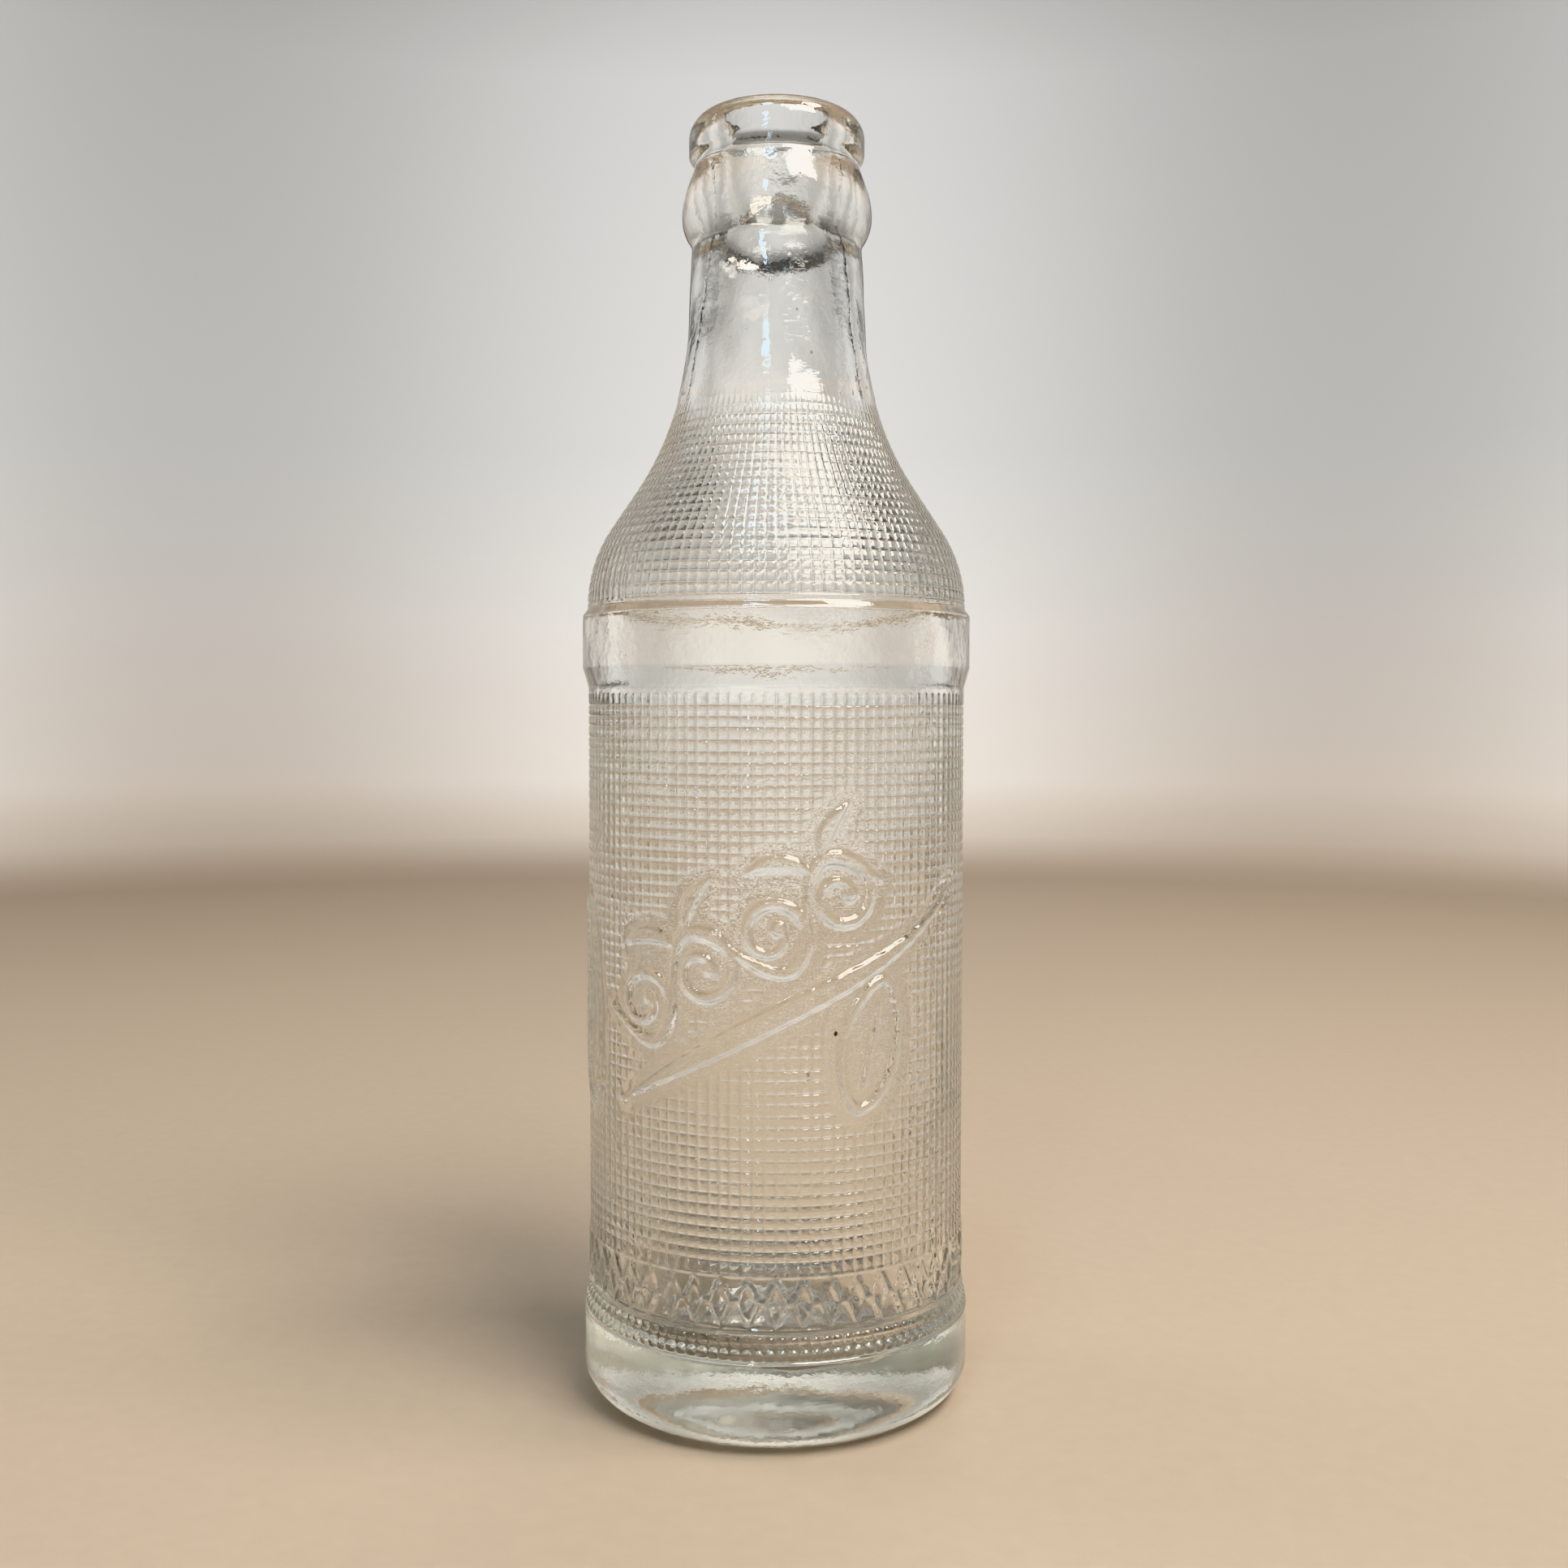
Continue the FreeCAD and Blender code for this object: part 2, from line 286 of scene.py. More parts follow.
# ---------------------------------------------------------------------------------------------------
# The raised pillows
# Each is a nearly flat-topped square of glass between narrow grooves. The mould is worn, so here and there
# the grooves round the bottle or those up it are shallow, and both fade out towards the plain neck.

GROOVE_DEPTH = 0.22
GROOVE_SHARE = 0.17
CROWN = 0.14


def across_pillow(share):
    """Height across one pillow, from 0 in the grooves to 1 at its middle."""
    inward = np.minimum(share, 1 - share)
    return smooth_step(inward / GROOVE_SHARE) * (1 - CROWN * (1 - 2 * inward) ** 2)


# the top row runs up into the band without a groove, and the bottom row down into its ledge
upright_share = row_share.copy()
upright_share[(rows >= body_lines[-2]) & (rows < body_lines[-1]) & (row_share > 0.5)] = 0.5
upright_share[(rows >= body_lines[0]) & (rows < body_lines[1]) & (row_share < 0.5)] = 0.5

round_wear = np.clip(0.80 + 0.17 * slow_waves(26.0, 10, 11), 0.30, 1.0)
upright_wear = np.clip(0.80 + 0.15 * slow_waves(24.0, 10, 13), 0.35, 1.0)
fade_out = 1 - smooth_step((height - (SHOULDER_GRID[1] - 7.0)) / 7.0)
round_grooves = 1 - round_wear * (1 - across_pillow(upright_share))[:, None]
upright_grooves = 1 - upright_wear * (1 - across_pillow(across_share))[None, :]
grid_relief = -GROOVE_DEPTH * (1 - round_grooves * upright_grooves) * (in_grid * fade_out)[:, None]


# ---------------------------------------------------------------------------------------------------
# The ornament on the front
# A generic running scroll in bold raised strokes, cut into the mould over a panel that was cleared of
# pillows. It climbs to the right over a long tapering sweep, with a leaf at either end.

PANEL_DEPTH = 0.19
PANEL_MARGIN = 2.4
STROKE_HEIGHT = 0.54
STROKE_BEVEL = 0.62
CLIMB = math.radians(27.8)
SCROLL_START = (-20.5, 63.0)
SCROLL_PITCH = 11.2
SCROLL_SWING = 5.7
CURL_COUNT = 4

around = BODY_RADIUS * angles[None, :] * np.ones((len(rows), 1))
upward = height[:, None] * np.ones((1, len(angles)))


def on_climb(along, across):
    """Places on the unrolled wall, from distances along and across the climbing line of the scroll."""
    return np.stack([
        SCROLL_START[0] + along * math.cos(CLIMB) - across * math.sin(CLIMB),
        SCROLL_START[1] + along * math.sin(CLIMB) + across * math.cos(CLIMB),
    ], axis=-1)


def curve(start, pull_start, pull_end, end, count=24):
    """Points on a cubic curve between two ends, each pulled towards its handle."""
    t = np.linspace(0.0, 1.0, count)[:, None]
    handles = [np.array(point, float) for point in (start, pull_start, pull_end, end)]
    weights = [(1 - t) ** 3, 3 * (1 - t) ** 2 * t, 3 * (1 - t) * t ** 2, t ** 3]
    return sum(weight * handle for weight, handle in zip(weights, handles))


def leaf_edge(centre, length, width, lean, count=40):
    """The closed edge of a pointed leaf that leans by the given angle from upright."""
    t = np.linspace(0.0, 2 * math.pi, count)
    side = width / 2 * np.sin(t) * np.abs(np.sin(t)) ** 0.25
    rise = length / 2 * np.cos(t)
    tilt = math.radians(lean)
    return np.stack([
        centre[0] + side * math.cos(tilt) + rise * math.sin(tilt),
        centre[1] - side * math.sin(tilt) + rise * math.cos(tilt),
    ], axis=1)


def swelling(count, thin, thick, peak=0.5):
    """Half widths of a stroke that swells from thin to thick at its peak and thins again."""
    t = np.linspace(0.0, 1.0, count)
    rising = np.sin(np.clip(t / peak, 0, 1) * math.pi / 2)
    falling = np.sin(np.clip((1 - t) / (1 - peak), 0, 1) * math.pi / 2)
    return thin + (thick - thin) * np.minimum(rising, falling)


def distance_to_stroke(points, half_widths, reach=5.0):
    """How far each place on the bottle lies outside a stroke, negative inside it."""
    field = np.full(around.shape, 99.0)
    low = points.min(axis=0) - reach - half_widths.max()
    high = points.max(axis=0) + reach + half_widths.max()
    columns = np.flatnonzero((around[0] > low[0]) & (around[0] < high[0]))
    levels = np.flatnonzero((height > low[1]) & (height < high[1]) & (in_grid > 0))
    window = np.ix_(levels, columns)
    x, z = around[window], upward[window]
    nearest = field[window]
    for start, end, start_half, end_half in zip(points, points[1:], half_widths, half_widths[1:]):
        side = end - start
        share = ((x - start[0]) * side[0] + (z - start[1]) * side[1]) / max(float(side @ side), 1e-9)
        share = np.clip(share, 0.0, 1.0)
        gap = np.hypot(x - start[0] - share * side[0], z - start[1] - share * side[1])
        nearest = np.minimum(nearest, gap - start_half - share * (end_half - start_half))
    field[window] = nearest
    return field


strokes = []

# the sweep under the scroll, widest a little left of its middle, and the light line it runs out into
sweep_line = np.concatenate([
    curve((-25.0, 48.2), (-16.0, 53.6), (-6.0, 59.0), (3.0, 63.4)),
    curve((3.0, 63.4), (11.0, 67.3), (21.0, 71.0), (31.0, 79.0))[1:],
])
strokes.append((sweep_line, swelling(len(sweep_line), 0.22, 1.75, 0.42)))

# the stem, which swings from side to side, and a curl that winds out of it into each of its bays
along = np.linspace(-0.62, CURL_COUNT - 0.45, 90)
stem = on_climb(along * SCROLL_PITCH, -SCROLL_SWING * np.cos(math.pi * along))
strokes.append((stem, 0.62 + 0.42 * np.abs(np.cos(math.pi * along))))
for index in range(CURL_COUNT):
    side = 1 if index % 2 == 0 else -1
    t = np.linspace(0.0, 1.0, 46)
    turn = np.radians(-96 + 470 * t)
    size = SCROLL_SWING * (1 - 0.76 * t)
    curl = on_climb(index * SCROLL_PITCH + size * np.cos(turn), side * size * np.sin(turn))
    strokes.append((curl, 0.98 - 0.36 * t))
    strokes.append((curl[-1:] + np.array([[0.0, 0.0], [0.05, 0.0]]), np.full(2, 1.15)))

# leaflets that spring from the stem outside the scroll, and a leaf with a rib at either end
for index in range(CURL_COUNT):
    if index % 2 == 0:
        foot, shoulder, tip = (0.80, 4.6), (0.62, 9.4), (0.06, 9.0)
    else:
        foot, shoulder, tip = (0.02, 5.9), (0.10, 9.6), (0.62, 10.8)
    foot, shoulder, tip = (on_climb((index + share) * SCROLL_PITCH, across) for share, across in
                           (foot, shoulder, tip))
    leaflet = curve(foot, foot * 0.4 + shoulder * 0.6, shoulder * 0.7 + tip * 0.3, tip, 18)
    strokes.append((leaflet, swelling(len(leaflet), 0.30, 1.25, 0.55)))
LEAVES = [
    # middle, length, width, lean
    ((14.0, 57.6), 18.5, 8.8, 13),
    ((-37.6, 61.0), 30.0, 10.4, -7),
]
for middle, length, width, lean in LEAVES:
    edge = leaf_edge(middle, length, width, lean)
    strokes.append((edge, np.full(len(edge), 0.78)))
    rib = leaf_edge(middle, length * 0.66, 0.01, lean, 15)[:8]
    strokes.append((rib, swelling(len(rib), 0.16, 0.55)))

stroke_gap = np.full(around.shape, 99.0)
for points, half_widths in strokes:
    stroke_gap = np.minimum(stroke_gap, distance_to_stroke(points, half_widths))

panel = smooth_step((PANEL_MARGIN - stroke_gap) / 0.9)
raised = smooth_step((0.10 - stroke_gap) / STROKE_BEVEL)
ornament_relief = -panel * PANEL_DEPTH + raised * STROKE_HEIGHT


# ---------------------------------------------------------------------------------------------------
# The strip round the foot of the body
# A smooth strip between two fine ledges, with a plain border of raised lozenges and studs, and under it
# two rows of beads where the strip meets the heel.

LOZENGE_COUNT = 46
LOZENGE_HALF_WIDTH = 1.35
LOZENGE_HALF_HEIGHT = 2.9
LOZENGE_LINE = 0.62
STUD_SIZE = 0.66
EDGE_BEVEL = 0.42
LOZENGE_RISE = 0.30
STRIP_CUT = 0.14
LEDGE_RISE = 0.14
LEDGE_SPREAD = 0.22
BEAD_ROWS = (14.75, 16.5)
BEAD_SIZE = 0.74
BEAD_RISE = 0.34
BEAD_CUT = 0.26

strip_middle = (STRIP_FOOT + BODY_GRID[0]) / 2 - 0.1
unit = 2 * math.pi * BODY_RADIUS / LOZENGE_COUNT
bay = around / unit
aside = (bay - np.round(bay)) * unit
above = upward - strip_middle
corner_length = math.hypot(1 / LOZENGE_HALF_WIDTH, 1 / LOZENGE_HALF_HEIGHT)
to_lozenge = (np.abs(aside) / LOZENGE_HALF_WIDTH + np.abs(above) / LOZENGE_HALF_HEIGHT - 1) / corner_length
lozenge = smooth_step((LOZENGE_LINE - np.abs(to_lozenge)) / EDGE_BEVEL)
beside = (bay - np.floor(bay) - 0.5) * unit
stud = smooth_step((STUD_SIZE - np.hypot(beside, above)) / EDGE_BEVEL)
on_strip = between(upward, STRIP_FOOT + 0.5, BODY_GRID[0] - 0.6, 0.3) * (rows < body_lines[0])[:, None]
upper_ledge = np.exp(-((upward - (BODY_GRID[0] - 0.35)) / LEDGE_SPREAD) ** 2)
lower_ledge = np.exp(-((upward - STRIP_FOOT) / LEDGE_SPREAD) ** 2)
ledges = upper_ledge + lower_ledge
strip_relief = on_strip * (LOZENGE_RISE * np.maximum(lozenge, stud) - STRIP_CUT) + LEDGE_RISE * ledges

bead_relief = np.zeros(around.shape)
across_bead = (across_share - 0.5) * 2 * math.pi * HEEL_RADIUS / COLUMN_COUNT
for level in BEAD_ROWS:
    off = np.hypot(across_bead[None, :], upward - level)
    bead_relief = np.maximum(bead_relief, np.sqrt(np.clip(1 - (off / BEAD_SIZE) ** 2, 0.0, 1.0)))
on_beads = between(upward, BEAD_ROWS[0] - 0.9, BEAD_ROWS[1] + 0.8, 0.2) * outside_wall[:, None]
bead_relief = on_beads * (BEAD_RISE * bead_relief - BEAD_CUT)
outer = ((rows > foot_distance) & outside_wall)[:, None]


# ---------------------------------------------------------------------------------------------------
# Marks of the mould and of hot glass
# Two fine seams where the mould's halves met, short ribs pressed into the bearing ring, and the gentle
# unevenness that glass keeps when it sets, larger inside than out because nothing shaped the inside.

SEAM_HEIGHT = 0.16
SEAM_WIDTH = 0.30
RIB_COUNT = 96
RIB_DEPTH = 0.16
OUTER_RIPPLE = 0.022
OUTER_SWELL = 0.035
OUTER_LIMIT = 0.12
INNER_SWELL = 0.09
INNER_RIPPLE = 0.020
LINE_WANDER = 0.05
LEAN_X = 0.32
LEAN_Y = 0.26

seam = np.zeros(around.shape)
for side in (-math.pi / 2, math.pi / 2):
    off = (angles - side)[None, :] * radius[:, None]
    seam += np.exp(-(off / SEAM_WIDTH) ** 2)
on_seam = between(height, 8.0, TOP - 10.0, 4.0) * (rows < up_outside(TOP - 9.0)) * (1 - 0.6 * in_grid)
seam_relief = SEAM_HEIGHT * seam * on_seam[:, None]

ribs = smooth_step(0.5 + 1.4 * np.cos(RIB_COUNT * angles))[None, :]
on_ribs = between(radius, BEARING_INNER_RADIUS + 0.7, HEEL_RADIUS - HEEL_ROUND - 0.2, 0.4)
on_ribs *= (rows < foot_distance + 1.0) & (rows > dome_end)
rib_relief = -RIB_DEPTH * on_ribs[:, None] * ribs

on_neck = smooth_step((height - SHOULDER_GRID[1]) / 6.0) * (1 - smooth_step((height - TOP + 9.0) / 6.0))
on_heel = smooth_step((height - 1.0) / 5.0) * (1 - smooth_step((height - HEEL_TOP + 2.0) / 2.0))
on_band = between(height, BAND_FOOT, BAND_TOP, 0.8)
outer_waves = OUTER_RIPPLE * slow_waves(9.0, 14, 3) + OUTER_SWELL * slow_waves(26.0, 8, 5)
outer_waves = np.clip(outer_waves, -OUTER_LIMIT, OUTER_LIMIT)
outer_relief = outer_waves * ((on_neck + on_heel + 0.4 * on_band) * outside_wall)[:, None]

inner = ~outside_wall & (rows > bore_start)
freedom = smooth_step((rows - throat_start) / 25.0) * smooth_step((distance[-1] - rows) / 25.0)
inner_waves = INNER_SWELL * slow_waves(34.0, 9, 21) + INNER_RIPPLE * slow_waves(12.0, 12, 23)
inner_relief = inner_waves * (inner * freedom)[:, None]

relief = grid_relief * (1 - panel) + outer * (ornament_relief + strip_relief + bead_relief + seam_relief)
relief = relief + rib_relief + outer_relief + inner_relief

# the whole inside leans a little off the axis, as the gob never hangs quite straight
lean_x = LEAN_X * freedom * inner * np.sin(height / 41.0 + 0.6)
lean_y = LEAN_Y * freedom * inner * np.cos(height / 33.0)

ring_radius = np.minimum(radius[:, None] + outward[0][:, None] * relief, BAND_RADIUS)
ring_height = height[:, None] + outward[1][:, None] * relief
wander = LINE_WANDER * slow_waves(22.0, 8, 31) * (in_grid * smooth_step((height - 30) / 6))[:, None]
ring_height = ring_height + np.clip(wander, -0.12, 0.12)
ring_radius[0] = 0.0
ring_radius[-1] = 0.0

x = ring_radius * np.sin(angles)[None, :] + lean_x[:, None]
y = -ring_radius * np.cos(angles)[None, :] + lean_y[:, None]
points = np.stack([x, y, ring_height], axis=2)


# ---------------------------------------------------------------------------------------------------
# Seeds
# Tiny gas bubbles that were caught in the glass as it was fed, drawn out a little as the neck was formed.
# They are hollows inside the wall, so their faces look inward.

SEEDS_IN_NECK = 16
SEEDS_IN_BODY = 20
NECK_SEED_HEIGHTS = (150.0, 184.0)
BODY_SEED_HEIGHTS = (22.0, 140.0)
SEED_SIZES = (0.10, 0.24)
SEED_STRETCHES = (1.2, 2.4)


def seed_shell(centre, size, stretch):
    """Vertices and faces of one closed hollow, with its faces looking into it."""
    rings, sides = 6, 10
    vertices = [centre + np.array([0.0, 0.0, -size * stretch])]
    for ring in range(1, rings):
        tilt = -math.pi / 2 + math.pi * ring / rings
        for side in range(sides):
            turn = 2 * math.pi * side / sides
            spoke = np.array([math.cos(turn) * math.cos(tilt), math.sin(turn) * math.cos(tilt), 0.0])
            vertices.append(centre + size * spoke + np.array([0.0, 0.0, size * stretch * math.sin(tilt)]))
    vertices.append(centre + np.array([0.0, 0.0, size * stretch]))
    faces = []
    last = len(vertices) - 1
    for side in range(sides):
        following = (side + 1) % sides
        faces.append((0, 1 + side, 1 + following))
        top = 1 + (rings - 2) * sides
        faces.append((last, top + following, top + side))
        for ring in range(rings - 2):
            low = 1 + ring * sides
            faces.append((low + side, low + sides + side, low + sides + following, low + following))
    return vertices, faces


def wall_at(level):
    """Inner and outer radius of the bare wall at a height above the cavity's floor."""
    out_rows = outline[(distance > foot_distance) & (distance < lip_distance)]
    in_rows = outline[distance > lip_distance + 4.0][::-1]
    return np.interp(level, in_rows[:, 1], in_rows[:, 0]), np.interp(level, out_rows[:, 1], out_rows[:, 0])


seeds = []
for index in range(SEEDS_IN_NECK + SEEDS_IN_BODY):
    in_neck = index < SEEDS_IN_NECK
    level = random.uniform(*(NECK_SEED_HEIGHTS if in_neck else BODY_SEED_HEIGHTS))
    turn = random.uniform(-math.pi, math.pi)
    inner_radius, outer_radius = wall_at(level)
    out = random.uniform(inner_radius + 1.1, outer_radius - 0.9)
    size = random.uniform(*SEED_SIZES)
    centre = np.array([out * math.sin(turn), -out * math.cos(turn), level])
    seeds.append(seed_shell(centre, size, random.uniform(*SEED_STRETCHES)))


# ---------------------------------------------------------------------------------------------------
# The glass mesh
# One closed skin round the whole wall, with the seeds as hollows in it.

row_count, column_count = len(rows), len(angles)
skin = points[1:-1].reshape(-1, 3)
vertices = np.concatenate([points[0, :1], skin, points[-1, :1]])
last_vertex = len(vertices) - 1

ring_index = 1 + np.arange((row_count - 2) * column_count).reshape(row_count - 2, column_count)
next_column = np.roll(ring_index, -1, axis=1)
quads = np.stack([ring_index[:-1], next_column[:-1], next_column[1:], ring_index[1:]], axis=2)
quads = quads.reshape(-1, 4)
base_fan = np.stack([np.zeros(column_count, int), next_column[0], ring_index[0]], axis=1)
floor_fan = np.stack([ring_index[-1], next_column[-1], np.full(column_count, last_vertex)], axis=1)

seed_vertices, seed_triangles, seed_quads = [], [], []
count = len(vertices)
for shell_vertices, shell_faces in seeds:
    seed_vertices += shell_vertices
    seed_triangles += [[count + corner for corner in face] for face in shell_faces if len(face) == 3]
    seed_quads += [[count + corner for corner in face] for face in shell_faces if len(face) == 4]
    count += len(shell_vertices)

vertices = np.concatenate([vertices, np.array(seed_vertices)]) * MM
quads = np.concatenate([quads, np.array(seed_quads)])
triangles = np.concatenate([base_fan, floor_fan, np.array(seed_triangles)])
corners = np.concatenate([quads.ravel(), triangles.ravel()])
starts = np.concatenate([
    np.arange(len(quads)) * 4,
    len(quads) * 4 + np.arange(len(triangles)) * 3,
])

glass_mesh = bpy.data.meshes.new("bottle_glass")
glass_mesh.vertices.add(len(vertices))
glass_mesh.vertices.foreach_set("co", vertices.ravel())
glass_mesh.loops.add(len(corners))
glass_mesh.loops.foreach_set("vertex_index", corners)
glass_mesh.polygons.add(len(starts))
glass_mesh.polygons.foreach_set("loop_start", starts)
glass_mesh.update(calc_edges=True)
glass_mesh.validate()
glass_mesh.shade_smooth()
bottle_glass = bpy.data.objects.new("bottle_glass", glass_mesh)
bpy.context.scene.collection.objects.link(bottle_glass)


# ---------------------------------------------------------------------------------------------------
# The glass material
# Clear soda-lime glass with a faint straw tint that shows where it is thick. Crates and filling lines
# have scuffed it wherever it stands proud: on the band, the heel and the transfer ring.

def new_group(name, inputs, outputs):
    """An empty shader group with named sockets, and its nodes for what comes in and goes out."""
    group = bpy.data.node_groups.new(name, "ShaderNodeTree")
    for socket, kind, value in inputs:
        made = group.interface.new_socket(socket, in_out="INPUT", socket_type=kind)
        made.default_value = value
    for socket, kind in outputs:
        group.interface.new_socket(socket, in_out="OUTPUT", socket_type=kind)
    return group, group.nodes.new("NodeGroupInput"), group.nodes.new("NodeGroupOutput")


def add_math(tree, operation, first, second=None, third=None):
    """A Math node, linked to sockets or set to numbers."""
    node = tree.nodes.new("ShaderNodeMath")
    node.operation = operation
    for socket, value in zip(node.inputs, (first, second, third)):
        if value is None:
            continue
        if isinstance(value, (int, float)):
            socket.default_value = value
        else:
            tree.links.new(value, socket)
    return node.outputs[0]


def add_noise(tree, place, scale, detail, stretch=(1.0, 1.0, 1.0)):
    """A Noise texture at a place, squeezed along each axis by stretch."""
    mapping = tree.nodes.new("ShaderNodeMapping")
    mapping.inputs["Scale"].default_value = stretch
    tree.links.new(place, mapping.inputs["Vector"])
    noise = tree.nodes.new("ShaderNodeTexNoise")
    noise.inputs["Scale"].default_value = scale
    noise.inputs["Detail"].default_value = detail
    tree.links.new(mapping.outputs["Vector"], noise.inputs["Vector"])
    return noise.outputs["Fac"]


# scuffs: short scratches and specks in a belt round the bottle
scuff_group, scuff_in, scuff_out = new_group(
    "scuffed_belt",
    [("Belt height", "NodeSocketFloat", 0.1), ("Belt half width", "NodeSocketFloat", 0.005),
     ("Amount", "NodeSocketFloat", 0.5)],
    [("Scuff", "NodeSocketFloat")])
place = scuff_group.nodes.new("ShaderNodeTexCoord").outputs["Object"]
split = scuff_group.nodes.new("ShaderNodeSeparateXYZ")
scuff_group.links.new(place, split.inputs[0])
off_belt = add_math(scuff_group, "ABSOLUTE", add_math(scuff_group, "SUBTRACT", split.outputs["Z"],
                                                      scuff_in.outputs["Belt height"]))
nearness = add_math(scuff_group, "SUBTRACT", 1.0,
                    add_math(scuff_group, "DIVIDE", off_belt, scuff_in.outputs["Belt half width"]))
belt = add_math(scuff_group, "MINIMUM", add_math(scuff_group, "MAXIMUM", nearness, 0.0), 1.0)
patches = add_noise(scuff_group, place, 90.0, 3.0)
scratches = add_noise(scuff_group, place, 420.0, 4.0, (1.0, 1.0, 5.0))
rubbed = add_math(scuff_group, "MULTIPLY", patches, scratches)
rubbed = add_math(scuff_group, "MULTIPLY", add_math(scuff_group, "SUBTRACT", rubbed, 0.24), 6.0)
rubbed = add_math(scuff_group, "MINIMUM", add_math(scuff_group, "MAXIMUM", rubbed, 0.0), 1.0)
scuff = add_math(scuff_group, "MULTIPLY", add_math(scuff_group, "MULTIPLY", rubbed, belt),
                 scuff_in.outputs["Amount"])
scuff_group.links.new(scuff, scuff_out.inputs["Scuff"])

# film: a trace of dried dust that varies over the glass
film_group, film_in, film_out = new_group(
    "dusty_film", [("Amount", "NodeSocketFloat", 0.5)], [("Film", "NodeSocketFloat")])
place = film_group.nodes.new("ShaderNodeTexCoord").outputs["Object"]
clouds = add_noise(film_group, place, 38.0, 5.0)
fine = add_noise(film_group, place, 900.0, 2.0)
film = add_math(film_group, "MULTIPLY", add_math(film_group, "MULTIPLY", clouds, fine),
                film_in.outputs["Amount"])
film_group.links.new(film, film_out.inputs["Film"])

glass = bpy.data.materials.new("clear_glass")
glass.use_nodes = True
tree = glass.node_tree
shader = tree.nodes["Principled BSDF"]
shader.inputs["Metallic"].default_value = 0.0
shader.inputs["Transmission Weight"].default_value = 1.0
shader.inputs["IOR"].default_value = 1.51

BELTS = [
    # height, half width, amount
    ((BAND_FOOT + BAND_TOP) / 2 * MM, 0.0065, 0.55),
    (0.0075, 0.0080, 0.60),
    ((TOP - 14.5) * MM, 0.0045, 0.50),
]
wear_mask = None
for belt_height, half_width, amount in BELTS:
    node = tree.nodes.new("ShaderNodeGroup")
    node.node_tree = scuff_group
    node.inputs["Belt height"].default_value = belt_height
    node.inputs["Belt half width"].default_value = half_width
    node.inputs["Amount"].default_value = amount
    here = node.outputs["Scuff"]
    wear_mask = here if wear_mask is None else add_math(tree, "MAXIMUM", wear_mask, here)

film_node = tree.nodes.new("ShaderNodeGroup")
film_node.node_tree = film_group
film_node.inputs["Amount"].default_value = 0.16
dulled = add_math(tree, "MULTIPLY_ADD", wear_mask, 0.32, film_node.outputs["Film"])
tree.links.new(add_math(tree, "ADD", dulled, 0.004), shader.inputs["Roughness"])

tint = tree.nodes.new("ShaderNodeMix")
tint.data_type = "RGBA"
tint.inputs["A"].default_value = (0.985, 0.985, 0.975, 1.0)
tint.inputs["B"].default_value = (0.90, 0.88, 0.84, 1.0)
tree.links.new(dulled, tint.inputs["Factor"])
tree.links.new(tint.outputs["Result"], shader.inputs["Base Color"])

# the skin of the glass: a slow ripple from cooling, and fine pits that break highlights into specks
place = tree.nodes.new("ShaderNodeTexCoord").outputs["Object"]
ripple = add_noise(tree, place, 240.0, 2.0)
pits = add_noise(tree, place, 1500.0, 2.0)
surface_height = add_math(tree, "MULTIPLY_ADD", pits, 0.26, ripple)
surface_height = add_math(tree, "MULTIPLY_ADD", wear_mask, 0.12, surface_height)
bump = tree.nodes.new("ShaderNodeBump")
bump.inputs["Strength"].default_value = 1.0
bump.inputs["Distance"].default_value = 0.00010
tree.links.new(surface_height, bump.inputs["Height"])
tree.links.new(bump.outputs["Normal"], shader.inputs["Normal"])

absorb = tree.nodes.new("ShaderNodeVolumeAbsorption")
absorb.inputs["Color"].default_value = (0.87, 0.87, 0.73, 1.0)
absorb.inputs["Density"].default_value = 9.5
tree.links.new(absorb.outputs["Volume"], tree.nodes["Material Output"].inputs["Volume"])

glass_mesh.materials.append(glass)
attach(bottle_glass, "root")
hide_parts("glass_bottle")


# ---------------------------------------------------------------------------------------------------
# A stone in the wall
# One dark grain of furnace lining, a little over half a millimetre across, set in the glass under the
# ornament.

STONE_ANGLE = math.radians(17.5)
STONE_HEIGHT = 59.4
STONE_SIZE = 0.30
STONE_DEPTH = 1.3
STONE_ROUGHNESS = 0.03

outer_radius = wall_at(STONE_HEIGHT)[1]
stone_out = outer_radius - STONE_DEPTH
stone_vertices, stone_faces = seed_shell(
    np.array([stone_out * math.sin(STONE_ANGLE), -stone_out * math.cos(STONE_ANGLE), STONE_HEIGHT]),
    STONE_SIZE, 1.15)
draw = np.random.default_rng(5)
stone_vertices = [vertex + draw.normal(0.0, STONE_ROUGHNESS, 3) for vertex in stone_vertices]
stone_mesh = bpy.data.meshes.new("stone_speck")
stone_mesh.from_pydata([Vector(vertex) * MM for vertex in stone_vertices], [],
                       [face[::-1] for face in stone_faces])
stone_speck = bpy.data.objects.new("stone_speck", stone_mesh)
bpy.context.scene.collection.objects.link(stone_speck)

grit = bpy.data.materials.new("furnace_grit")
grit.use_nodes = True
tree = grit.node_tree
shader = tree.nodes["Principled BSDF"]
grains = add_noise(tree, tree.nodes.new("ShaderNodeTexCoord").outputs["Object"], 5200.0, 3.0)
ramp = tree.nodes.new("ShaderNodeValToRGB")
ramp.color_ramp.elements[0].color = (0.010, 0.008, 0.006, 1.0)
ramp.color_ramp.elements[1].color = (0.060, 0.045, 0.032, 1.0)
tree.links.new(grains, ramp.inputs["Fac"])
tree.links.new(ramp.outputs["Color"], shader.inputs["Base Color"])
shader.inputs["Roughness"].default_value = 0.8
stone_mesh.materials.append(grit)
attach(stone_speck, "root")


